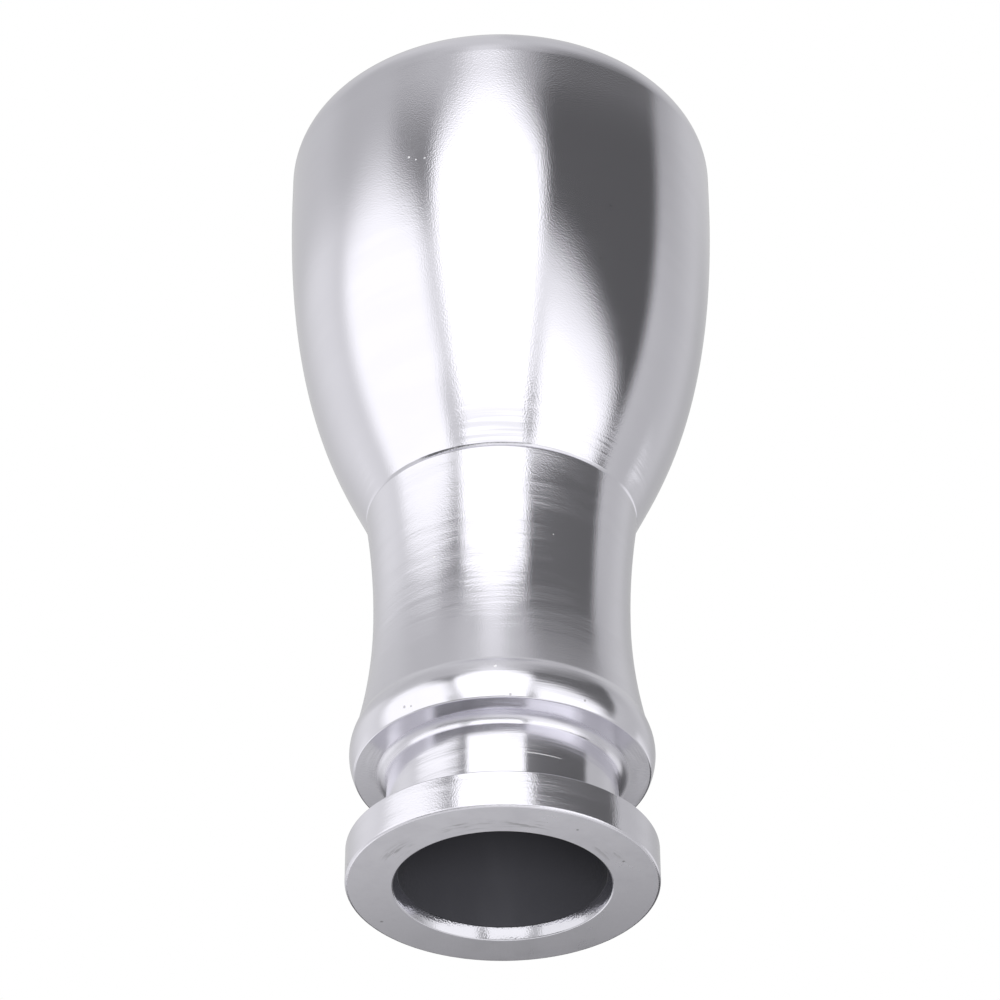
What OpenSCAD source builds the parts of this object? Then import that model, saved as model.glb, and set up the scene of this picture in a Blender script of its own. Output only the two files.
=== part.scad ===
// Gear shift knob, turned in aluminium: a pear-shaped head screwed onto a waisted neck,
// with a boot groove, a black liner in the neck and a threaded bush for the gear lever.
// Millimetres. +Z runs up the lever's axis, and the origin is the centre of the lower face.

/* [Head] */
// Diameter of the head at its widest place
head_d = 50; // [44:0.5:58]
// Height from the seam up to the widest place
side_h = 46.2; // [38:0.2:60]
// Angle at which the side leaves the seam, measured from the axis
flare_angle = 22.5; // [12:0.5:30]
// How far the side holds its angle above the seam
flare_pull = 6.9; // [3:0.1:14]
// How far the side holds upright below the widest place
belly_pull = 30; // [16:0.5:32]
// Height of the upright band above the widest place
belly_h = 2.9; // [0.5:0.1:8]
// Radius of the shoulder that turns into the crown
shoulder_r = 5.6; // [3:0.1:10]
// Rise of the domed crown above the shoulder
crown_rise = 4.5; // [1.5:0.1:8]
// Width of the bevel round the head's bottom edge, which shows as a bright ring at the seam
head_bevel = 0.25; // [0.1:0.05:0.6]

/* [Neck] */
// Wall of the neck at its waist, outside the spigot's seat
neck_wall = 1.75; // [1.2:0.05:3]
// How far the neck's top stands out from its waist
neck_top_out = 1.05; // [0.5:0.05:3]
// Height from the bead's top up to the waist
waist_h = 14.2; // [10:0.1:18]
// Height from the bead's top up to the seam
neck_h = 28.2; // [26:0.2:36]
// Width of the bevel round the neck's top edge
seam_bevel = 0.3; // [0.1:0.05:0.6]

/* [Bead and boot groove] */
// Height of the rounded bead over the bottom of the groove
bead_out = 4.05; // [3.2:0.05:6]
// Radius of the bead's rounding
bead_round = 5.4; // [4:0.1:8]
// Height of the bead
bead_h = 5; // [4.4:0.1:6]
// Height of the bead's widest place above its underside
bead_belly = 2.4; // [1.8:0.1:3]
// Height of the groove that holds the boot
groove_h = 9.3; // [7:0.1:12]
// Wall of the neck at the bottom of the groove, outside the liner
core_wall = 0.85; // [0.4:0.05:2]
// Fillet in the corners of the groove
groove_fillet = 1.1; // [0.4:0.1:2]
// Height of the lower flange's rim over the bottom of the groove
groove_depth = 4.2; // [3:0.1:6]
// Height of the lower flange
flange_h = 4.3; // [3:0.1:7]
// Bevel round the lower flange's bottom edge
flange_bevel = 0.3; // [0.1:0.05:0.8]

/* [Mouth and liner] */
// How far the lip opens out towards the mouth
lip_taper = 0.55; // [0.1:0.05:1]
// Depth of the bright lip below the liner
lip_depth = 1.4; // [1:0.1:3]
// Bore of the liner, and of the lip at its inner edge
liner_bore = 22.2; // [18:0.1:28]
// Wall of the black liner
liner_wall = 0.5; // [0.3:0.05:1]
// Length of the liner
liner_l = 33; // [28:0.5:34]

/* [Spigot and lever bush] */
// Step from the liner's outside out to the head's spigot
spigot_step = 0.85; // [0.3:0.05:2]
// Depth of the neck's seat beyond the spigot's end
spigot_gap = 0.3; // [0.1:0.1:0.8]
// Width of the turned relief at the spigot's root
relief_w = 1.6; // [1:0.1:2.4]
// Depth of that relief
relief_depth = 0.7; // [0.3:0.1:1.2]
// Wall of the threaded bush
bush_wall = 3.75; // [2:0.25:5]
// Length of the threaded bush
bush_l = 22; // [16:0.5:26]
// Core diameter of the bush's thread, M10 x 1.5
thread_d = 8.5; // [6.8:0.1:10.5]
// Bevel at both mouths of the thread
thread_bevel = 1; // [0.3:0.1:1.5]
// Depth of the blind hole above the bush, for the lever's end
runout_l = 6; // [3:0.5:10]
// How much wider that blind hole is than the thread's core
runout_over = 2.5; // [1.5:0.1:3.5]
// Angle of the drill's point at the end of the blind hole
drill_angle = 118; // [90:2:140]
// Bevel on the ends of the spigot and of the bush
end_bevel = 0.6; // [0.2:0.1:1]
// Radial clearance round the liner, the spigot and the bush
fit_gap = 0.05; // [0.02:0.01:0.1]

/* [Hidden] */

$fn = 96;
// Straight steps in a short arc and in a long curve
ARC_STEPS = 12;
CURVE_STEPS = 36;

// Heights, from the lower face up
z_groove = flange_h;
z_bead = z_groove + groove_h;
z_foot = z_bead + bead_h;
z_waist = z_foot + waist_h;
z_seam = z_foot + neck_h;
z_side = z_seam + head_bevel;
z_wide = z_seam + side_h;
z_shoulder = z_wide + belly_h;
z_liner = lip_depth;
z_spigot = z_liner + liner_l;
z_seat = z_spigot - spigot_gap;
z_bush = z_spigot + bush_l;
z_runout = z_bush + runout_l;

// Radii, from the liner's bore outwards
liner_r = liner_bore / 2 + liner_wall;
core_r = liner_r + fit_gap + core_wall;
flange_r = core_r + groove_depth;
spigot_r = liner_r + spigot_step;
seat_r = spigot_r + fit_gap;
waist_r = seat_r + neck_wall;
neck_top_r = waist_r + neck_top_out;
bush_r = thread_d / 2 + bush_wall;
runout_r = (thread_d + runout_over) / 2;
bush_mouth_r = thread_d / 2 + thread_bevel;
bead_centre = core_r + bead_out - bead_round;
foot_r = bead_centre + sqrt(bead_round ^ 2 - (bead_h - bead_belly) ^ 2);

// The crown is an arc about the axis that runs smoothly into the shoulder's arc
shoulder_in = head_d / 2 - shoulder_r;
crown_k = shoulder_r + crown_rise;
crown_r = (shoulder_in ^ 2 + crown_k ^ 2 - shoulder_r ^ 2) / (2 * crown_rise);
crown_angle = atan(shoulder_in / (crown_r - crown_k));
z_crown = z_shoulder + crown_k - crown_r;

// Points of an arc about [r, z], from angle a0 to angle a1
function arc(r, z, radius, a0, a1, steps) =
    [for (i = [0 : steps]) let (a = a0 + (a1 - a0) * i / steps) [r + radius * cos(a), z + radius * sin(a)]];

// Points of a hollow curve from height z0 and radius r0 to the waist, upright at the waist
function waist_curve(r0, z0) =
    let (
        rise = r0 - waist_r,
        run = z0 - z_waist,
        radius = (run ^ 2 + rise ^ 2) / (2 * rise)
    )
    [for (i = [0 : ARC_STEPS]) let (z = run * (1 - i / ARC_STEPS))
        [waist_r + radius - sqrt(radius ^ 2 - z ^ 2), z_waist + z]];

// Points of a cubic curve through four control points
function cubic(p, steps) =
    [for (i = [0 : steps]) let (t = i / steps, u = 1 - t)
        u ^ 3 * p[0] + 3 * t * u ^ 2 * p[1] + 3 * t ^ 2 * u * p[2] + t ^ 3 * p[3]];

function reversed(list) = [for (i = [len(list) - 1 : -1 : 0]) list[i]];

// Side of the head, from the bevel at the seam up to the widest place
function head_side() = cubic([
    [neck_top_r, z_side],
    [neck_top_r + flare_pull * sin(flare_angle), z_side + flare_pull * cos(flare_angle)],
    [head_d / 2, z_wide - belly_pull],
    [head_d / 2, z_wide]
], CURVE_STEPS);

// Pear-shaped head with its spigot and the blind hole for the bush and the lever's end
module head() {
    bore_r = bush_r + fit_gap;
    color("gainsboro") rotate_extrude() polygon(concat(
        head_side(),
        arc(shoulder_in, z_shoulder, shoulder_r, 0, 90 - crown_angle, ARC_STEPS),
        arc(0, z_crown, crown_r, 90 - crown_angle, 90, ARC_STEPS),
        [
            [0, z_runout + runout_r / tan(drill_angle / 2)],
            [runout_r, z_runout],
            [runout_r, z_bush],
            [bore_r, z_bush],
            [bore_r, z_spigot],
            [spigot_r - end_bevel, z_spigot],
            [spigot_r, z_spigot + end_bevel],
            [spigot_r, z_seam - relief_w],
            [spigot_r - relief_depth, z_seam - relief_w + relief_depth],
            [spigot_r - relief_depth, z_seam],
            [neck_top_r - head_bevel, z_seam]
        ]
    ));
}

// Waisted neck with its bead, boot groove, lower flange and through bore
module neck() {
    color("silver") rotate_extrude() polygon(concat(
        [
            [liner_bore / 2 + lip_taper, 0],
            [flange_r - flange_bevel, 0],
            [flange_r, flange_bevel],
            [flange_r, z_groove]
        ],
        arc(core_r + groove_fillet, z_groove + groove_fillet, groove_fillet, 270, 180, ARC_STEPS),
        arc(core_r + groove_fillet, z_bead - groove_fillet, groove_fillet, 180, 90, ARC_STEPS),
        arc(bead_centre, z_bead + bead_belly, bead_round,
            -asin(bead_belly / bead_round), asin((bead_h - bead_belly) / bead_round), ARC_STEPS),
        waist_curve(foot_r, z_foot),
        reversed(waist_curve(neck_top_r, z_seam - seam_bevel)),
        [
            [neck_top_r - seam_bevel, z_seam],
            [seat_r + end_bevel, z_seam],
            [seat_r, z_seam - end_bevel],
            [seat_r, z_seat],
            [liner_r + fit_gap, z_seat],
            [liner_r + fit_gap, z_liner],
            [liner_bore / 2, z_liner]
        ]
    ));
}

// Black plastic liner, held between the neck's lip and the head's spigot
module liner() {
    color("dimgray") rotate_extrude() translate([liner_bore / 2, z_liner]) square([liner_wall, liner_l]);
}

// Threaded bush for the gear lever, screwed up against the step in the head's bore
module lever_bush() {
    color("goldenrod") rotate_extrude() polygon([
        [bush_mouth_r, z_spigot],
        [bush_r - end_bevel, z_spigot],
        [bush_r, z_spigot + end_bevel],
        [bush_r, z_bush - end_bevel],
        [bush_r - end_bevel, z_bush],
        [bush_mouth_r, z_bush],
        [thread_d / 2, z_bush - thread_bevel],
        [thread_d / 2, z_spigot + thread_bevel]
    ]);
}

head();
neck();
liner();
lever_bush();
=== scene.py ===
import math
from types import SimpleNamespace

import bmesh
import bpy
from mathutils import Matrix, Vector


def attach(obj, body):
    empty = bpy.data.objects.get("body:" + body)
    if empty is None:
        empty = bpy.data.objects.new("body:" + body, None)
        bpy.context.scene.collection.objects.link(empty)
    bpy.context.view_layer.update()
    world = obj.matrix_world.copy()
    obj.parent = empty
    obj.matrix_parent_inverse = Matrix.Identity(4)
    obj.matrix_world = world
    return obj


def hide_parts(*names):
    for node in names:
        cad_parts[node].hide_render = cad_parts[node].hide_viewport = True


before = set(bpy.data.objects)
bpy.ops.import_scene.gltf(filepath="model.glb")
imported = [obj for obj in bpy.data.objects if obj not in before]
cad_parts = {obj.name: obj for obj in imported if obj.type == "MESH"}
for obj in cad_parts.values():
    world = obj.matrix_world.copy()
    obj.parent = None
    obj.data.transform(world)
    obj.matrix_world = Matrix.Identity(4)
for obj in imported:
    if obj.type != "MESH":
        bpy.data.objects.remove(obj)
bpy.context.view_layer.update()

# Gear shift knob, turned in aluminium. Lengths are in millimetres and angles in degrees; MM turns
# millimetres into Blender's metres. +Z runs up the lever's axis from the centre of the lower face.
MM = 0.001

# Sizes of the real pieces

# Head
HEAD_D = 50
SIDE_H = 46.2
FLARE_ANGLE = 22.5
FLARE_PULL = 6.9
BELLY_PULL = 30
BELLY_H = 2.9
SHOULDER_R = 5.6
CROWN_RISE = 4.5
HEAD_BEVEL = 0.25

# Neck
NECK_H = 28.2
WAIST_R = 14.25
NECK_TOP_R = 15.3
WAIST_H = 14.2
SEAM_BEVEL = 0.3

# Bead, boot groove and lower flange
CORE_R = 12.5
BEAD_OUT = 4.05
BEAD_ROUND = 5.4
BEAD_H = 5
BEAD_BELLY = 2.4
GROOVE_H = 9.3
GROOVE_FILLET = 1.1
FLANGE_R = 16.7
FLANGE_H = 4.3
FLANGE_BEVEL = 0.3

# Mouth, liner, spigot and the bush for the lever
LIP_TAPER = 0.55
LIP_DEPTH = 1.4
LINER_BORE = 22.2
LINER_SEAT_R = 11.65
LINER_L = 33
SEAT_R = 12.5
SPIGOT_R = 12.45
SPIGOT_GAP = 0.3
RELIEF_W = 1.6
RELIEF_DEPTH = 0.7
BUSH_R = 8
BUSH_L = 22
BUSH_SEAT_R = 8.05
RUNOUT_R = 5.5
RUNOUT_L = 6
DRILL_ANGLE = 118
END_BEVEL = 0.6

# Thread in the bush, M10 x 1.5, with how steeply its flanks rise and how much of that stays flat
THREAD_CORE_R = 4.25
THREAD_ROOT_R = 5.0
THREAD_PITCH = 1.5
THREAD_BEVEL = 1
THREAD_FLANK = 1.33
THREAD_FLAT = 0.17

# Broken edges that only the finished piece shows
FINE_EDGE_BREAK = 0.12
GROOVE_EDGE_BREAK = 0.14
BEVEL_EDGE_BREAK = 0.04
FOOT_BREAK = 0.6

# How much lower the face lies at the mouth than at the rim, from the facing cut
FACE_CROWN = 0.1

# Heights
Z_GROOVE = FLANGE_H
Z_BEAD = Z_GROOVE + GROOVE_H
Z_FOOT = Z_BEAD + BEAD_H
Z_WAIST = Z_FOOT + WAIST_H
Z_SEAM = Z_FOOT + NECK_H
Z_SIDE = Z_SEAM + HEAD_BEVEL
Z_WIDE = Z_SEAM + SIDE_H
Z_SHOULDER = Z_WIDE + BELLY_H
Z_LINER = LIP_DEPTH
Z_SPIGOT = Z_LINER + LINER_L
Z_SEAT = Z_SPIGOT - SPIGOT_GAP
Z_BUSH = Z_SPIGOT + BUSH_L
Z_RUNOUT = Z_BUSH + RUNOUT_L

# Radii of the mouth, of the groove's fillets, and of the bead's centre, lower edge and foot
MOUTH_R = LINER_BORE / 2 + LIP_TAPER
FILLET_R = CORE_R + GROOVE_FILLET
BEAD_CENTRE_R = CORE_R + BEAD_OUT - BEAD_ROUND
BEAD_EDGE_R = BEAD_CENTRE_R + math.sqrt(BEAD_ROUND ** 2 - BEAD_BELLY ** 2)
FOOT_R = BEAD_CENTRE_R + math.sqrt(BEAD_ROUND ** 2 - (BEAD_H - BEAD_BELLY) ** 2)

# Steps that the curves, the broken edges and the turning are made in
SIDE_STEPS = 110
SHOULDER_STEPS = 30
CROWN_STEPS = 36
FILLET_STEPS = 14
BEAD_STEPS = 24
WAIST_STEPS = 40
BREAK_STEPS = 5
SPIN_STEPS = 240
BORE_STEPS = 96
ROWS_A_PITCH = 12

# Points closer than this many metres are one point, and a point this many millimetres off the
# thread's core still lies on it
SAME_POINT = 1e-7
ON_THE_CORE = 0.01


# Profiles

def arc(r, z, radius, start, end, steps):
    """Points (radius from the axis, height) of an arc about (r, z)."""
    points = []
    for i in range(steps + 1):
        a = math.radians(start + (end - start) * i / steps)
        points.append((r + radius * math.cos(a), z + radius * math.sin(a)))
    return points


def cubic(a, b, c, d, steps):
    """Points of a cubic curve through four control points."""
    points = []
    for i in range(steps + 1):
        t = i / steps
        u = 1 - t
        weights = (u ** 3, 3 * t * u ** 2, 3 * t ** 2 * u, t ** 3)
        points.append(tuple(sum(w * p[k] for w, p in zip(weights, (a, b, c, d))) for k in (0, 1)))
    return points


def waist_curve(r0, z0):
    """Points of a hollow arc from (r0, z0) to the waist, upright at the waist."""
    rise = r0 - WAIST_R
    run = z0 - Z_WAIST
    radius = (run ** 2 + rise ** 2) / (2 * rise)
    points = []
    for i in range(WAIST_STEPS + 1):
        z = run * (1 - i / WAIST_STEPS)
        points.append((WAIST_R + radius - math.sqrt(radius ** 2 - z ** 2), Z_WAIST + z))
    return points


def head_profile():
    """Outer side of the head from the seam to the crown's pole, as one smooth line."""
    flare = math.radians(FLARE_ANGLE)
    start = (NECK_TOP_R, Z_SIDE)
    bend = (NECK_TOP_R + FLARE_PULL * math.sin(flare), Z_SIDE + FLARE_PULL * math.cos(flare))
    side = cubic(start, bend, (HEAD_D / 2, Z_WIDE - BELLY_PULL), (HEAD_D / 2, Z_WIDE), SIDE_STEPS)
    shoulder_in = HEAD_D / 2 - SHOULDER_R
    rise = SHOULDER_R + CROWN_RISE
    crown_r = (shoulder_in ** 2 + rise ** 2 - SHOULDER_R ** 2) / (2 * CROWN_RISE)
    crown_angle = math.degrees(math.atan(shoulder_in / (crown_r - rise)))
    shoulder = arc(shoulder_in, Z_SHOULDER, SHOULDER_R, 0, 90 - crown_angle, SHOULDER_STEPS)
    crown = arc(0, Z_SHOULDER + rise - crown_r, crown_r, 90 - crown_angle, 90, CROWN_STEPS)
    return side + shoulder + crown[1:-1] + [(0, crown[-1][1])]


def spigot_profile():
    """Inner side of the head: blind hole, bush's seat, spigot and the turned relief at its root."""
    drill_rise = RUNOUT_R / math.tan(math.radians(DRILL_ANGLE / 2))
    return [
        (0, Z_RUNOUT + drill_rise),
        (RUNOUT_R, Z_RUNOUT),
        (RUNOUT_R, Z_BUSH),
        (BUSH_SEAT_R, Z_BUSH),
        (BUSH_SEAT_R, Z_SPIGOT),
        (SPIGOT_R - END_BEVEL, Z_SPIGOT),
        (SPIGOT_R, Z_SPIGOT + END_BEVEL),
        (SPIGOT_R, Z_SEAM - RELIEF_W),
        (SPIGOT_R - RELIEF_DEPTH, Z_SEAM - RELIEF_W + RELIEF_DEPTH),
        (SPIGOT_R - RELIEF_DEPTH, Z_SEAM),
        (NECK_TOP_R - HEAD_BEVEL, Z_SEAM),
    ]


def neck_profile():
    """Closed outline of the neck, from the mouth out and up to the seam, then down the bore."""
    bead_low = math.degrees(math.asin(BEAD_BELLY / BEAD_ROUND))
    bead_high = math.degrees(math.asin((BEAD_H - BEAD_BELLY) / BEAD_ROUND))
    points = [(MOUTH_R, 0), (FLANGE_R, FACE_CROWN), (FLANGE_R, Z_GROOVE)]
    points += arc(FILLET_R, Z_GROOVE + GROOVE_FILLET, GROOVE_FILLET, 270, 180, FILLET_STEPS)
    points += arc(FILLET_R, Z_BEAD - GROOVE_FILLET, GROOVE_FILLET, 180, 90, FILLET_STEPS)
    points += arc(BEAD_CENTRE_R, Z_BEAD + BEAD_BELLY, BEAD_ROUND, -bead_low, bead_high, BEAD_STEPS)
    points += waist_curve(FOOT_R, Z_FOOT)
    points += waist_curve(NECK_TOP_R, Z_SEAM)[::-1][1:]
    points += [
        (SEAT_R, Z_SEAM),
        (SEAT_R, Z_SEAT),
        (LINER_SEAT_R, Z_SEAT),
        (LINER_SEAT_R, Z_LINER),
        (LINER_BORE / 2, Z_LINER),
    ]
    return points


# Turning on the lathe

def lathe(points, breaks, steps=SPIN_STEPS):
    """A closed outline turned about Z. breaks lists (radius, height, size) of corners to round off."""
    bm = bmesh.new()
    verts = []
    for r, z in points:
        place = Vector((0, -r * MM, z * MM))
        if not verts or (place - verts[-1].co).length > SAME_POINT:
            verts.append(bm.verts.new(place))
    for a, b in zip(verts, verts[1:] + verts[:1]):
        bm.edges.new((a, b))
    for r, z, size in breaks:
        corner = Vector((0, -r * MM, z * MM))
        near = min(bm.verts, key=lambda v: (v.co - corner).length)
        bmesh.ops.bevel(bm, geom=[near], offset=size * MM, offset_type="OFFSET", segments=BREAK_STEPS,
                        profile=0.5, affect="VERTICES", material=-1, clamp_overlap=True)
    bmesh.ops.spin(bm, geom=bm.verts[:] + bm.edges[:], cent=(0, 0, 0), axis=(0, 0, 1),
                   angle=math.tau, steps=steps, use_merge=True, use_duplicate=False)
    bmesh.ops.remove_doubles(bm, verts=bm.verts[:], dist=SAME_POINT)
    bmesh.ops.recalc_face_normals(bm, faces=bm.faces[:])
    return bm


def placed(name, bm):
    """A bmesh as an object of the scene."""
    mesh = bpy.data.meshes.new(name)
    bm.to_mesh(mesh)
    bm.free()
    piece = bpy.data.objects.new(name, mesh)
    bpy.context.scene.collection.objects.link(piece)
    return piece


def finished(name, bm):
    """A bmesh as a smooth-shaded object whose flats stay flat."""
    for face in bm.faces:
        face.smooth = True
    piece = placed(name, bm)
    weighted = piece.modifiers.new("flats stay flat", "WEIGHTED_NORMAL")
    weighted.mode = "FACE_AREA"
    weighted.weight = 60
    weighted.keep_sharp = False
    return piece


def make_head():
    """The head, turned as one with its spigot."""
    breaks = [
        (NECK_TOP_R, Z_SIDE, BEVEL_EDGE_BREAK),
        (NECK_TOP_R - HEAD_BEVEL, Z_SEAM, BEVEL_EDGE_BREAK),
        (SPIGOT_R, Z_SPIGOT + END_BEVEL, FINE_EDGE_BREAK),
        (BUSH_SEAT_R, Z_SPIGOT, FINE_EDGE_BREAK),
    ]
    outline = head_profile() + spigot_profile()
    return finished("knob_head", lathe(outline, breaks))


def make_neck():
    """The neck, turned as one with its bead, boot groove and lower flange."""
    breaks = [
        (MOUTH_R, 0, FINE_EDGE_BREAK),
        (FLANGE_R, FACE_CROWN, FLANGE_BEVEL),
        (FLANGE_R, Z_GROOVE, GROOVE_EDGE_BREAK),
        (BEAD_EDGE_R, Z_BEAD, GROOVE_EDGE_BREAK),
        (FOOT_R, Z_FOOT, FOOT_BREAK),
        (NECK_TOP_R, Z_SEAM, SEAM_BEVEL),
        (SEAT_R, Z_SEAM, FINE_EDGE_BREAK),
        (LINER_BORE / 2, Z_LINER, FINE_EDGE_BREAK),
    ]
    return finished("knob_neck", lathe(neck_profile(), breaks))


def make_bush():
    """The brass bush, with an M10 thread cut in its bore and a bevel at either end of it."""
    mouth_r = THREAD_CORE_R + THREAD_BEVEL
    outline = [(mouth_r, Z_SPIGOT), (BUSH_R, Z_SPIGOT), (BUSH_R, Z_BUSH), (mouth_r, Z_BUSH)]
    rows = round(BUSH_L / THREAD_PITCH * ROWS_A_PITCH)
    outline += [(THREAD_CORE_R, Z_BUSH - BUSH_L * i / rows) for i in range(1, rows)]
    bm = lathe(outline, [(BUSH_R, Z_SPIGOT, FINE_EDGE_BREAK)], BORE_STEPS)
    for vert in bm.verts:
        radius = math.hypot(vert.co.x, vert.co.y) / MM
        z = vert.co.z / MM
        if radius > THREAD_CORE_R + ON_THE_CORE:
            continue
        turns = math.atan2(vert.co.y, vert.co.x) / math.tau
        phase = (z / THREAD_PITCH - turns) % 1
        groove = min(1, max(0, (1 - abs(2 * phase - 1)) * THREAD_FLANK - THREAD_FLAT))
        from_end = min(z - Z_SPIGOT, Z_BUSH - z)
        wanted = max(THREAD_CORE_R + groove * (THREAD_ROOT_R - THREAD_CORE_R), mouth_r - from_end)
        vert.co.x *= wanted / radius
        vert.co.y *= wanted / radius
    return finished("knob_lever_bush", bm)


# Material helpers

# The share of a spot's size that shows in full before it fades
SPOT_CORE = 0.4

# The way along a turned outline is its height, less this share of its radius
RADIUS_IN_WAY = 0.8

# A quarter of a turn, which spreads a reflection across the rings and not along them
QUARTER_TURN = 0.25

# Index of refraction of every finish
GLOSS_IOR = 1.5


class Sheet:
    """One material's node tree, with short calls for the sums that the patterns need."""

    def __init__(self, tree):
        self.tree = tree
        tree.nodes.clear()

    def add(self, kind, **settings):
        node = self.tree.nodes.new(kind)
        for key, value in settings.items():
            setattr(node, key, value)
        return node

    def feed(self, socket, value):
        if isinstance(value, bpy.types.NodeSocket):
            self.tree.links.new(value, socket)
        else:
            socket.default_value = value

    def surface(self, shader, out="ShaderNodeOutputMaterial"):
        self.feed(self.add(out).inputs["Surface"], shader)

    def sum(self, operation, *values):
        node = self.add("ShaderNodeMath", operation=operation)
        for socket, value in zip(node.inputs, values):
            self.feed(socket, value)
        return node.outputs[0]

    def between(self, value, low, high, to_low=0.0, to_high=1.0):
        """value eased from to_low at low to to_high at high."""
        node = self.add("ShaderNodeMapRange", interpolation_type="SMOOTHSTEP")
        for name, given in (("Value", value), ("From Min", low), ("From Max", high),
                            ("To Min", to_low), ("To Max", to_high)):
            self.feed(node.inputs[name], given)
        return node.outputs[0]

    def patch(self, value, low, high, soft, above=0.0, slope=(0, 0)):
        """1 between low and high, fading to 0 over soft at either end; the ends shift by slope x above."""
        before = self.sum("SUBTRACT", value, self.sum("MULTIPLY", above, slope[0])) if slope[0] else value
        after = self.sum("SUBTRACT", value, self.sum("MULTIPLY", above, slope[1])) if slope[1] else value
        rise = self.between(before, low - soft / 2, low + soft / 2)
        fall = self.between(after, high - soft / 2, high + soft / 2, 1.0, 0.0)
        return self.sum("MULTIPLY", rise, fall)

    def blend(self, share, a, b):
        node = self.add("ShaderNodeMix", data_type="FLOAT")
        self.feed(node.inputs[0], share)
        self.feed(node.inputs[2], a)
        self.feed(node.inputs[3], b)
        return node.outputs[0]

    def tint(self, share, a, b):
        """Colour a at share 0 and colour b at share 1."""
        node = self.add("ShaderNodeMix", data_type="RGBA")
        self.feed(node.inputs[0], share)
        self.feed(node.inputs[6], a)
        self.feed(node.inputs[7], b)
        return node.outputs[2]

    def object_place(self):
        """The place on the object, and its x, y and z."""
        place = self.add("ShaderNodeTexCoord").outputs["Object"]
        split = self.add("ShaderNodeSeparateXYZ")
        self.feed(split.inputs[0], place)
        return place, *split.outputs

    def from_axis(self, x, y):
        """Distance from the Z axis."""
        squares = self.sum("ADD", self.sum("MULTIPLY", x, x), self.sum("MULTIPLY", y, y))
        return self.sum("SQRT", squares)

    def noise(self, place, across, along, detail=2.0, rough=0.5):
        """Noise of that many features a metre across the turning marks and along them."""
        stretch = self.add("ShaderNodeMapping")
        stretch.inputs["Scale"].default_value = (along, along, across)
        self.feed(stretch.inputs["Vector"], place)
        node = self.add("ShaderNodeTexNoise")
        node.inputs["Scale"].default_value = 1.0
        node.inputs["Detail"].default_value = detail
        node.inputs["Roughness"].default_value = rough
        self.feed(node.inputs["Vector"], stretch.outputs[0])
        return node.outputs[0]

    def spots(self, place, marks):
        """1 inside any of the round marks, each (angle, radius, height, size), and 0 outside them."""
        share = 0.0
        for angle, radius, z, size in marks:
            away = self.add("ShaderNodeVectorMath", operation="DISTANCE")
            self.feed(away.inputs[0], place)
            x = radius * math.sin(math.radians(angle))
            y = -radius * math.cos(math.radians(angle))
            away.inputs[1].default_value = (x * MM, y * MM, z * MM)
            spot = self.between(away.outputs["Value"], SPOT_CORE * size * MM, size * MM, 1.0, 0.0)
            share = self.sum("MAXIMUM", share, spot)
        return share

    def bump(self, height, depth, under=None):
        """Bump of height times depth, in millimetres."""
        node = self.add("ShaderNodeBump")
        node.inputs["Strength"].default_value = 1.0
        node.inputs["Distance"].default_value = depth * MM
        self.feed(node.inputs["Height"], height)
        if under is not None:
            self.feed(node.inputs["Normal"], under)
        return node.outputs[0]


def new_sheet(name):
    material = bpy.data.materials.new(name)
    material.use_nodes = True
    return material, Sheet(material.node_tree)


def finish_with(s, colour, roughness, metallic, normal, tangent=None, turned=0.0):
    """The shader itself; turned is how far its reflections stretch across the rings."""
    shader = s.add("ShaderNodeBsdfPrincipled")
    shader.inputs["Metallic"].default_value = metallic
    shader.inputs["IOR"].default_value = GLOSS_IOR
    shader.inputs["Anisotropic"].default_value = turned
    if turned:
        shader.inputs["Anisotropic Rotation"].default_value = QUARTER_TURN
        s.feed(shader.inputs["Tangent"], tangent)
    s.feed(shader.inputs["Base Color"], colour)
    s.feed(shader.inputs["Roughness"], roughness)
    s.feed(shader.inputs["Normal"], normal)
    s.surface(shader.outputs[0])


def round_the_axis(s):
    """Sockets of a turned piece: place, x, y, z and radius; profile, which is the place with the way
    along the outline as its height; and tangent, the direction round the axis."""
    place, x, y, z = s.object_place()
    radius = s.from_axis(x, y)
    way = s.sum("SUBTRACT", z, s.sum("MULTIPLY", radius, RADIUS_IN_WAY))
    profile = s.add("ShaderNodeCombineXYZ")
    tangent = s.add("ShaderNodeCombineXYZ")
    for target, values in ((profile, (x, y, way)), (tangent, (s.sum("MULTIPLY", y, -1.0), x, 0.0))):
        for socket, value in zip(target.inputs, values):
            s.feed(socket, value)
    return SimpleNamespace(place=place, x=x, y=y, z=z, radius=radius,
                           profile=profile.outputs[0], tangent=tangent.outputs[0])


# Finishes

ALUMINIUM = (0.795, 0.785, 0.845, 1)
ALUMINIUM_DULL = (0.70, 0.69, 0.745, 1)
# Painted shade: a darker aluminium for the ring lines low on the head's front and for the lip inside the
# mouth
ALUMINIUM_PAINTED_SHADE = (0.62, 0.615, 0.66, 1)
ALUMINIUM_FACED = (0.86, 0.85, 0.91, 1)
PLASTIC_BLACK = (0.050, 0.050, 0.058, 1)
PLASTIC_BLACK_PALER = (0.060, 0.060, 0.069, 1)
BRASS = (0.80, 0.60, 0.30, 1)
BRASS_DULL = (0.62, 0.44, 0.21, 1)
# Pale colour of dust and of the scratch, and of a painted glint at the bead's foot
PALE_MARK_AND_GLINT = (0.98, 0.98, 1.0, 1)
DIRT = (0.16, 0.155, 0.15, 1)

# Features a metre of each pattern, across the turning marks and along them
RING_BUNCHES = (420, 70)
COARSE_RINGS = (2300, 90)
FINE_RINGS = (5200, 170)
SHADED_RING_LINES = (3400, 60)
FACE_CLOUDS = (260, 260)
FACE_GRAIN = (5200, 5200)
FACE_WIPES = (2600, 240)
LINER_STREAKS = (40, 160)
LINER_DUST = (2500, 2500)
BRASS_RINGS = (3200, 45)
METAL_CELLS = 5600.0

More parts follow.
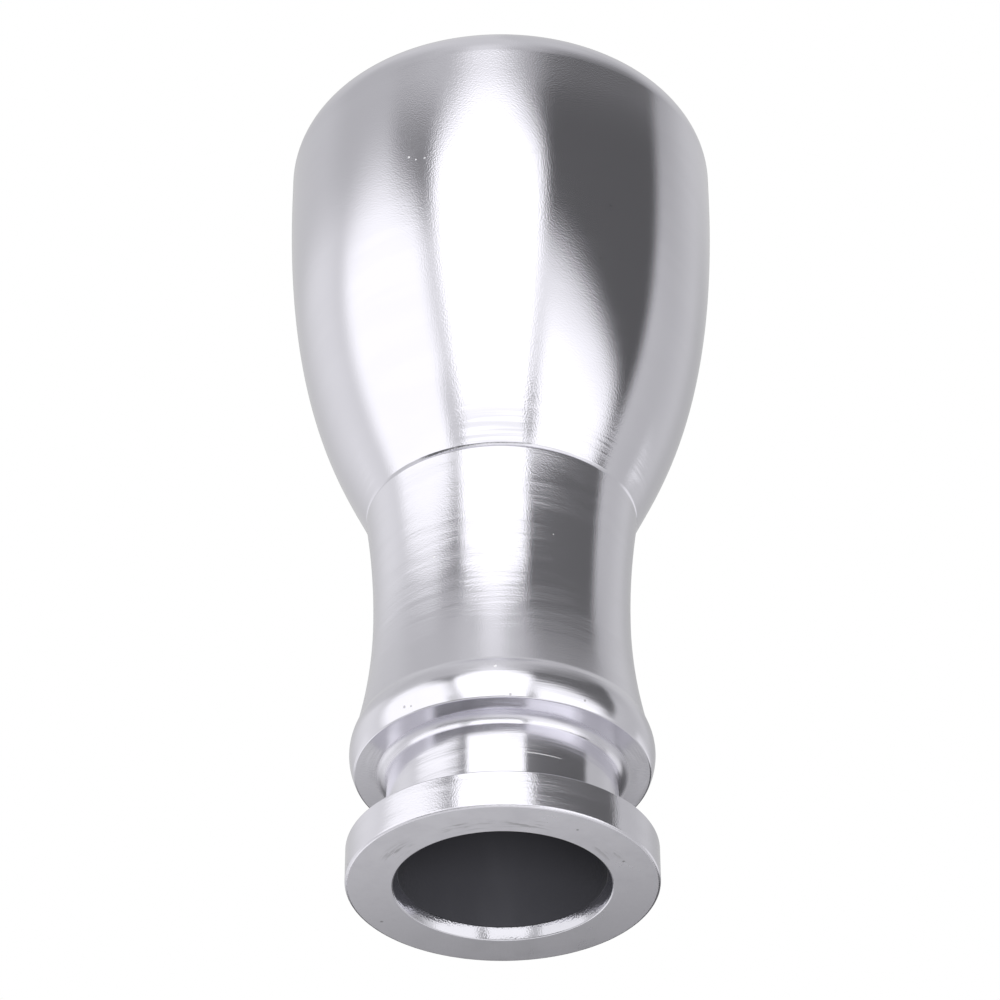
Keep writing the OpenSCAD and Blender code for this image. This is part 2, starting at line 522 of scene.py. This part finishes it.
# Depths of the tool's rings and of the grain
HEAD_RING_DEPTH = 0.034
HEAD_GRAIN_DEPTH = 0.0055
NECK_RING_DEPTH = 0.019
NECK_GRAIN_DEPTH = 0.0068
FACE_GRAIN_DEPTH = 0.002
LINER_GRAIN_DEPTH = 0.004
BRASS_RING_DEPTH = 0.004

# Small marks that the photo shows, each (angle round the axis, radius, height, size). Angle 0 is the
# front, at -Y, and it grows to the right.
HEAD_DUST = [(-25, 24.6, 82, 0.19), (-23, 24.6, 81.4, 0.13), (-20.5, 24.6, 81.3, 0.15)]
HEAD_SPECKS = [(31, 24.1, 76.2, 0.14), (29, 23.05, 69, 0.12), (38.5, 22.5, 66, 0.1)]
# The second of the neck's bright spots, at the bead's foot, is a painted glint; the others are dust
NECK_DUST_AND_GLINT = [(-31, 14.2, 33.9, 0.22), (-2.5, 16.4, 17.2, 0.24), (23, 14.25, 36.2, 0.12)]
NECK_SPECKS = [(32, 16.3, 14.5, 0.19), (3, 16.1, 13.9, 0.2), (-39, 16.35, 14.5, 0.22),
               (-36, 16.3, 14.3, 0.16), (-76, 16.7, 0.5, 0.2)]
FACE_SMUDGES = [(-16, 13.3, 0, 3.4), (10, 13.2, 0, 3.2), (56, 13.2, 0, 2.6), (-56, 13.5, 0, 3),
                (-122, 14.9, 0, 1.6)]
FACE_PITS = [(33, 14.15, 0, 0.2), (-120, 15, 0, 0.25), (67, 13.7, 0, 0.22)]

# Smudges show only on this ring of the lower face
SMUDGE_FROM_R = 12.5
SMUDGE_TO_R = 14.1
SMUDGE_FADE = 1.0

# The head's rings fade between these heights over its bevel
HEAD_RINGS_FROM = 0.5
HEAD_RINGS_TO = 8

# The lowest of them carry painted shade, darker lines for the reflection, between these places right of
# the middle, with this fade at the sides, and that fades upwards between these heights over the bevel
RING_SHADE_FROM = -4.7
RING_SHADE_TO = 2.9
RING_SHADE_FADE = 1.5
RING_SHADE_LOW = 1
RING_SHADE_HIGH = 6.5

# The neck's rings are faint from this far under the bead's foot to this far over it, and whole again
# this far over it. Its grain is weaker on the groove and the bead, with this fade.
FOOT_CLEAR = 1
FOOT_FADE = 9
GRAIN_FADE = 2

# The fillets' duller finish starts and is whole this far off the core, and is this soft at its outer
# end. The rim's fades upwards between these shares of its bevel's height. The lip's edge is this soft.
FILLET_FROM = 0.03
FILLET_WHOLE = 0.2
FILLET_SOFT = 0.1
RIM_LOW = 0.4
RIM_HIGH = 1.6
LIP_SOFT = 0.04

# The scratch round the groove's core: height, width, and from how far to how far right of the middle
SCRATCH_Z = 9.15
SCRATCH_W = 0.1
SCRATCH_FROM = 2.3
SCRATCH_TO = 6.1
SCRATCH_FADE = 1.2

# A mark of the front alone is whole where y is under the first and gone where it is over the second
FRONT_WHOLE = -8
FRONT_GONE = -6


def at_the_front(s, y):
    return s.between(y, FRONT_WHOLE * MM, FRONT_GONE * MM, 1.0, 0.0)


def lathe_marks(s, at, share, ring_depth, grained, grain_depth):
    """Where the tool's rings bunch, and the normal of metal with those rings and a fine grain."""
    bunches = s.between(s.noise(at.profile, *RING_BUNCHES), 0.4, 0.62, 0.12, 1.0)
    coarse = s.noise(at.profile, *COARSE_RINGS, rough=0.6)
    fine = s.noise(at.profile, *FINE_RINGS, detail=1.0)
    rings = s.sum("MULTIPLY_ADD", fine, 0.35, coarse)
    rings = s.sum("MULTIPLY", rings, s.sum("MULTIPLY", bunches, share))
    cells = s.add("ShaderNodeTexVoronoi")
    cells.inputs["Scale"].default_value = METAL_CELLS
    s.feed(cells.inputs["Vector"], at.place)
    grain = s.sum("MULTIPLY", cells.outputs["Distance"], grained)
    return bunches, s.bump(grain, grain_depth, s.bump(rings, ring_depth))


def painted_ring_shade(s, at):
    """Painted shade on the last rings above the seam, at the front: a darker colour where they cross the
    reflection.
    """
    near_seam = s.between(at.z, (Z_SIDE + RING_SHADE_LOW) * MM, (Z_SIDE + RING_SHADE_HIGH) * MM, 1.0, 0.0)
    ring_shade = s.sum("MULTIPLY", near_seam, s.patch(at.x, RING_SHADE_FROM * MM, RING_SHADE_TO * MM, RING_SHADE_FADE * MM))
    ring_shade = s.sum("MULTIPLY", ring_shade, at_the_front(s, at.y))
    rings = s.between(s.noise(at.profile, *SHADED_RING_LINES, rough=0.6), 0.42, 0.58, 0.3, 1.0)
    return s.sum("MULTIPLY", ring_shade, rings)


def head_aluminium():
    """Bright turned metal, with the tool's rings only low down, where the last carry painted shade in
    front.
    """
    material, s = new_sheet("head_turned_aluminium")
    at = round_the_axis(s)
    low_down = s.between(at.z, (Z_SIDE + HEAD_RINGS_FROM) * MM, (Z_SIDE + HEAD_RINGS_TO) * MM, 1.0, 0.02)
    bunches, normal = lathe_marks(s, at, low_down, HEAD_RING_DEPTH, 1.0, HEAD_GRAIN_DEPTH)
    dust = s.spots(at.place, HEAD_DUST)
    colour = s.tint(s.sum("MULTIPLY", bunches, 0.12), ALUMINIUM, ALUMINIUM_DULL)
    # Painted shade: the lowest rings at the front are darkened in colour for the grey lines that they show
    # in the reflection
    colour = s.tint(painted_ring_shade(s, at), colour, ALUMINIUM_PAINTED_SHADE)
    colour = s.tint(dust, colour, PALE_MARK_AND_GLINT)
    colour = s.tint(s.spots(at.place, HEAD_SPECKS), colour, DIRT)
    roughness = s.between(bunches, 0.1, 1.0, 0.09, 0.11)
    roughness = s.blend(dust, roughness, 0.7)
    finish_with(s, colour, roughness, 0.99, normal, at.tangent, turned=0.4)
    return material


def groove_scratch(s, at):
    """The scratch that runs a little way round the groove's core, at the front."""
    line = s.patch(at.z, SCRATCH_Z * MM, (SCRATCH_Z + SCRATCH_W) * MM, SCRATCH_W * MM)
    scratch = s.sum("MULTIPLY", line, s.patch(at.x, SCRATCH_FROM * MM, SCRATCH_TO * MM, SCRATCH_FADE * MM))
    return s.sum("MULTIPLY", scratch, at_the_front(s, at.y))


def neck_aluminium():
    """Turned metal with coarser rings, matter in the fillets of the groove and on the rim's bevel, with
    painted shade on the lip and a painted glint at the bead's foot.
    """
    material, s = new_sheet("neck_turned_aluminium")
    at = round_the_axis(s)
    above_foot = s.between(at.z, (Z_FOOT + FOOT_CLEAR) * MM, (Z_FOOT + FOOT_FADE) * MM, 0.15, 1.0)
    below_foot = s.between(at.z, (Z_FOOT - FOOT_CLEAR) * MM, Z_FOOT * MM, 1.0, 0.0)
    marked = s.sum("MAXIMUM", above_foot, below_foot)
    in_groove = s.patch(at.z, Z_GROOVE * MM, Z_FOOT * MM, GRAIN_FADE * MM)
    grained = s.sum("SUBTRACT", 1.0, s.sum("MULTIPLY", in_groove, 0.7))
    bunches, normal = lathe_marks(s, at, marked, NECK_RING_DEPTH, grained, NECK_GRAIN_DEPTH)
    off_core = s.between(at.radius, (CORE_R + FILLET_FROM) * MM, (CORE_R + FILLET_WHOLE) * MM)
    fillet = s.sum("MULTIPLY", off_core, s.between(at.radius, (FILLET_R - FILLET_SOFT) * MM,
                                                   (FILLET_R + FILLET_SOFT) * MM, 1.0, 0.0))
    off_flat = s.between(at.radius, (FLANGE_R - FLANGE_BEVEL) * MM, FLANGE_R * MM)
    rim = s.sum("MULTIPLY", off_flat, s.between(at.z, RIM_LOW * FLANGE_BEVEL * MM,
                                                RIM_HIGH * FLANGE_BEVEL * MM, 1.0, 0.0))
    lip = s.between(at.radius, (MOUTH_R - LIP_SOFT) * MM, (MOUTH_R + LIP_SOFT) * MM, 1.0, 0.0)
    # One of these spots, at the bead's foot, is a painted glint; the others are dust
    dust = s.spots(at.place, NECK_DUST_AND_GLINT)
    specks = s.sum("MULTIPLY", s.spots(at.place, NECK_SPECKS), 0.5)
    scratch = groove_scratch(s, at)
    colour = s.tint(s.sum("MULTIPLY", bunches, 0.12), ALUMINIUM, ALUMINIUM_DULL)
    # Painted shade: the lip inside the mouth is darker in colour for the shade that falls in the mouth
    for share, other in ((lip, ALUMINIUM_PAINTED_SHADE), (dust, PALE_MARK_AND_GLINT), (specks, DIRT), (scratch, PALE_MARK_AND_GLINT)):
        colour = s.tint(share, colour, other)
    roughness = s.between(bunches, 0.1, 1.0, 0.13, 0.17)
    for share, other in ((fillet, 0.28), (lip, 0.08), (rim, 0.3), (scratch, 0.45), (dust, 0.5)):
        roughness = s.blend(share, roughness, other)
    finish_with(s, colour, roughness, 0.97, normal, at.tangent, turned=0.8)
    return material


def faced_aluminium():
    """The lower face: turned flat, then handled, so matte with faint clouds, smudges and specks."""
    material, s = new_sheet("lower_face_aluminium")
    at = round_the_axis(s)
    cloud = s.noise(at.place, *FACE_CLOUDS, detail=4.0, rough=0.6)
    grain = s.noise(at.place, *FACE_GRAIN, detail=3.0)
    wiped = s.between(s.noise(at.profile, *FACE_WIPES, detail=3.0, rough=0.7), 0.48, 0.66, 0.0, 0.4)
    near_mouth = s.patch(at.radius, SMUDGE_FROM_R * MM, SMUDGE_TO_R * MM, SMUDGE_FADE * MM)
    smudge = s.sum("MULTIPLY", s.sum("MULTIPLY", s.spots(at.place, FACE_SMUDGES), near_mouth), wiped)
    smudge = s.sum("MAXIMUM", smudge, s.sum("MULTIPLY", s.spots(at.place, FACE_PITS), 0.6))
    colour = s.tint(s.between(cloud, 0.35, 0.8, 0.0, 0.5), ALUMINIUM_FACED, ALUMINIUM_DULL)
    colour = s.tint(smudge, colour, DIRT)
    roughness = s.between(cloud, 0.3, 0.7, 0.27, 0.33)
    finish_with(s, colour, roughness, 1.0, s.bump(grain, FACE_GRAIN_DEPTH))
    return material


def black_plastic(name):
    """Moulded plastic, with faint streaks along it and fine dust."""
    material, s = new_sheet(name)
    at = round_the_axis(s)
    streaks = s.noise(at.profile, *LINER_STREAKS)
    dust = s.noise(at.profile, *LINER_DUST)
    colour = s.tint(s.between(streaks, 0.35, 0.75), PLASTIC_BLACK, PLASTIC_BLACK_PALER)
    roughness = s.between(dust, 0.3, 0.7, 0.38, 0.5)
    finish_with(s, colour, roughness, 0.0, s.bump(dust, LINER_GRAIN_DEPTH))
    return material


def turned_brass(name):
    """Brass with plain turning marks."""
    material, s = new_sheet(name)
    at = round_the_axis(s)
    rings = s.noise(at.profile, *BRASS_RINGS, detail=3.0)
    colour = s.tint(s.between(rings, 0.3, 0.75), BRASS, BRASS_DULL)
    roughness = s.between(rings, 0.3, 0.75, 0.26, 0.36)
    finish_with(s, colour, roughness, 1.0, s.bump(rings, BRASS_RING_DEPTH), at.tangent, turned=0.5)
    return material


# The pieces

head = make_head()
head.data.materials.append(head_aluminium())
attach(head, "root")
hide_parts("head")

# Faces of the neck that look straight down and lie no higher than this have the lower face's finish
FACING_DOWN = -0.99
LOWER_FACE_TOP = 1.1 * FACE_CROWN

neck = make_neck()
neck.data.materials.append(neck_aluminium())
neck.data.materials.append(faced_aluminium())
for face in neck.data.polygons:
    is_lower_face = face.normal.z < FACING_DOWN and face.center.z < LOWER_FACE_TOP * MM
    face.material_index = 1 if is_lower_face else 0
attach(neck, "root")
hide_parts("neck")

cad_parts["liner"].data.materials.clear()
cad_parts["liner"].data.materials.append(black_plastic("liner_black_plastic"))

bush = make_bush()
bush.data.materials.append(turned_brass("bush_turned_brass"))
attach(bush, "root")
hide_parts("lever_bush")


# Studio

# The tent's radius in metres, and the height of its centre
TENT_RADIUS = 0.8
TENT_CENTRE = 85

# The tent of light that the metal mirrors, seen from the head. Azimuth 0 is the camera's side for a
# "front" row and the far side for a "back" row, and it grows to the right of the picture. Each row:
# side; azimuth from, to and softness; how far the left and right edges lean for each degree of
# elevation; elevation from, to and softness; tilt and bow of the upper edge and the azimuth that they
# are about; and the grey that it shows as in the metal, 0 to 255 or brighter. A later row covers an
# earlier one, and TENT_GREY is the rest of the tent. METAL_MIRRORS is the share of the light that the
# metal gives back.
TENT_GREY = 187
METAL_MIRRORS = 0.8
TENT_LIGHTS = {
    "ceiling": ("front", (-200, 15, 20), (0, 0), (60, 95, 24), (0, 0, 0), 197),
    "above_left": ("front", (-100, -40, 26), (0, 0), (24, 64, 30), (0, 0, 0), 175),
    "left_shade": ("front", (-58, -30, 12), (0, 0), (24, 38, 8), (0, 0, 0), 126),
    "right_shade": ("front", (92, 118, 24), (0, 0), (-95, 75, 20), (0, 0, 0), 178),
    "right_back": ("front", (136, 168, 20), (0, 0), (12, 36, 10), (0, 0, 0), 172),
    "left_glow": ("front", (-134, -92, 40), (0, 0), (-95, 33, 6), (0, 0, 0), 214),
    "dark_card_fade": ("front", (25, 98, 44), (0, 0), (36, 58, 34), (0, 0, 0), 106),
    "dark_card": ("front", (0, 85, 7), (0, 0.17), (-95, 43, 9), (0, 0, 0), 81),
    "card_corner": ("front", (-30, 19, 22), (0, 0), (36, 52, 8), (0, 0, 0), 172),
    "low_reflector": ("front", (21, 86, 5), (0, 0), (-95, 5.6, 14), (-0.5, 0.003, 60), 222),
    "low_reflector_glow": ("front", (24, 74, 12), (0, 0), (-40, -2, 24), (-0.2, 0, 60), 268),
    "plume": ("front", (-21, 3, 18), (0, 0), (38, 61, 16), (0, 0, 0), 213),
    "left_softbox": ("front", (-93, -35.6, 14), (0, -0.18), (-38, 31.6, 13), (0, 0.011, -68), 256),
    "front_softbox": ("front", (-31, 20.2, 7), (-0.16, 0.08), (-29, 40.6, 8), (0, 0.011, -6), 270),
    "left_gap": ("front", (-39, -31, 5), (0, 0), (-40, -9, 6), (0, 0, 0), 200),
    "right_gap": ("front", (18.5, 24, 5), (0, 0), (-40, -15, 4), (0, 0, 0), 150),
    "front_shadow": ("front", (-72, 19, 12), (0, 0), (-52, -30, 6), (0, 0, 0), 90),
    "left_floor": ("front", (-140, -78, 16), (0, 0), (-60, -28, 10), (0, 0, 0), 190),
    "back_softbox_right": ("back", (38, 68, 8), (0, 0), (-24, 6, 8), (0, 0, 0), 222),
    "back_softbox_left": ("back", (-68, -36, 8), (0, 0), (-24, 6, 8), (0, 0, 0), 222),
    "back_shadow": ("back", (-24, 38, 10), (0, 0), (-34, 6, 8), (0, 0, 0), 72),
    "back_floor_left": ("back", (-56, -13, 26), (0, 0), (-70, -30, 14), (0, 0, 0), 242),
    "table": ("front", (-200, 200, 1), (0, 0), (-95, -52, 6), (0, 0, 0), 205),
    "table_glow": ("front", (-24, 66, 26), (0, 0), (-74, -50, 8), (0, 0, 0), 252),
}


def mirrored(grey):
    """Light level that shows as that grey, 0 to 255, in the metal, by the screen's colour curve."""
    share = grey / 255
    linear = share / 12.92 if share < 0.04 else ((share + 0.055) / 1.055) ** 2.4
    return linear / METAL_MIRRORS


def tent_glow():
    """The material that paints the rows of TENT_LIGHTS on the tent."""
    material, s = new_sheet("light_tent_glow")
    x, y, z = s.object_place()[1:]
    to_degrees = 180 / math.pi
    azimuth = {
        "front": s.sum("MULTIPLY", s.sum("ARCTAN2", x, s.sum("MULTIPLY", y, -1.0)), to_degrees),
        "back": s.sum("MULTIPLY", s.sum("ARCTAN2", x, y), to_degrees),
    }
    elevation = s.sum("MULTIPLY", s.sum("ARCTAN2", z, s.from_axis(x, y)), to_degrees)
    level = mirrored(TENT_GREY)
    for side, across, lean, up, (tilt, bow, about), grey in TENT_LIGHTS.values():
        turn_to = azimuth[side]
        height = elevation
        if tilt or bow:
            aside = s.sum("SUBTRACT", turn_to, float(about))
            height = s.sum("SUBTRACT", height, s.sum("MULTIPLY", aside, tilt))
            height = s.sum("ADD", height, s.sum("MULTIPLY", s.sum("MULTIPLY", aside, aside), bow))
        share = s.patch(turn_to, *across, above=elevation, slope=lean)
        share = s.sum("MULTIPLY", share, s.patch(height, *up))
        level = s.blend(share, level, mirrored(grey))
    glow = s.add("ShaderNodeEmission")
    s.feed(glow.inputs["Strength"], level)
    s.surface(glow.outputs[0])
    material.cycles.emission_sampling = "NONE"
    return material


def make_tent():
    bm = bmesh.new()
    bmesh.ops.create_uvsphere(bm, u_segments=48, v_segments=24, radius=TENT_RADIUS)
    tent = placed("light_tent", bm)
    tent.data.materials.append(tent_glow())
    tent.location = (0, 0, TENT_CENTRE * MM)
    tent.visible_camera = False
    tent.visible_diffuse = False
    tent.visible_shadow = False


# Half the floor's width in metres, how far below the knob it lies, and its colour
FLOOR_HALF_WIDTH = 2.0
FLOOR_DROP = 0.3
FLOOR_COLOUR = (0.9, 0.9, 0.9, 1)


def make_floor():
    """A pale floor that is clear from below, so that the camera sees the knob through it."""
    bm = bmesh.new()
    bmesh.ops.create_grid(bm, x_segments=1, y_segments=1, size=FLOOR_HALF_WIDTH)
    bmesh.ops.translate(bm, verts=bm.verts[:], vec=(0, 0, -FLOOR_DROP * MM))
    floor = placed("floor", bm)
    material, s = new_sheet("pale_floor")
    matte = s.add("ShaderNodeBsdfDiffuse")
    matte.inputs["Color"].default_value = FLOOR_COLOUR
    clear = s.add("ShaderNodeBsdfTransparent")
    one_sided = s.add("ShaderNodeMixShader")
    s.feed(one_sided.inputs[0], s.add("ShaderNodeNewGeometry").outputs["Backfacing"])
    s.feed(one_sided.inputs[1], matte.outputs[0])
    s.feed(one_sided.inputs[2], clear.outputs[0])
    s.surface(one_sided.outputs[0])
    floor.data.materials.append(material)
    floor.visible_glossy = False
    floor.visible_diffuse = False
    floor.visible_shadow = False


# The world's strength as light on the object; it shows as white
AMBIENT = 0.7


def make_world():
    world = bpy.data.worlds.new("studio")
    bpy.context.scene.world = world
    world.use_nodes = True
    s = Sheet(world.node_tree)
    light_path = s.add("ShaderNodeLightPath")
    seen = s.sum("MAXIMUM", light_path.outputs["Is Camera Ray"],
                 s.sum("MAXIMUM", light_path.outputs["Is Glossy Ray"],
                       light_path.outputs["Is Transmission Ray"]))
    background = s.add("ShaderNodeBackground")
    background.inputs["Color"].default_value = (1, 1, 1, 1)
    s.feed(background.inputs["Strength"], s.blend(seen, AMBIENT, 1.0))
    s.surface(background.outputs[0], "ShaderNodeOutputWorld")


# The point in metres that the lamps shine at
LAMP_AIM = (0, 0, 0.05)


def make_lamp(name, place, size, power):
    """A round lamp, with its place and size in metres and its power in watts."""
    lamp = bpy.data.lights.new(name, "AREA")
    lamp.shape = "DISK"
    lamp.size = size
    lamp.energy = power
    holder = bpy.data.objects.new(name, lamp)
    holder.location = place
    holder.rotation_euler = (Vector(LAMP_AIM) - Vector(place)).to_track_quat("-Z", "Y").to_euler()
    holder.visible_glossy = False
    bpy.context.scene.collection.objects.link(holder)


make_tent()
make_floor()
make_world()
make_lamp("key_lamp", (-0.5, -0.7, 1.2), 0.8, 9)
make_lamp("low_front_lamp", (0.05, -0.9, -0.52), 0.5, 9)


# Camera

CAMERA_BACK = 338.3
CAMERA_BELOW = 190.2
CAMERA_LEFT = 0.18
CAMERA_PITCH = 35.39
CAMERA_ROLL = -0.156
CAMERA_LENS = 131.7
CAMERA_SENSOR = 36

camera_data = bpy.data.cameras.new("camera")
camera_data.lens = CAMERA_LENS
camera_data.sensor_width = CAMERA_SENSOR
camera_data.clip_start = 0.01
camera = bpy.data.objects.new("camera", camera_data)
bpy.context.scene.collection.objects.link(camera)
camera.location = (-CAMERA_LEFT * MM, -CAMERA_BACK * MM, -CAMERA_BELOW * MM)
camera.rotation_euler = (math.radians(90 + CAMERA_PITCH), 0, 0)
camera.rotation_euler.rotate_axis("Z", math.radians(CAMERA_ROLL))
bpy.context.scene.camera = camera
bpy.context.scene.view_settings.view_transform = "Standard"
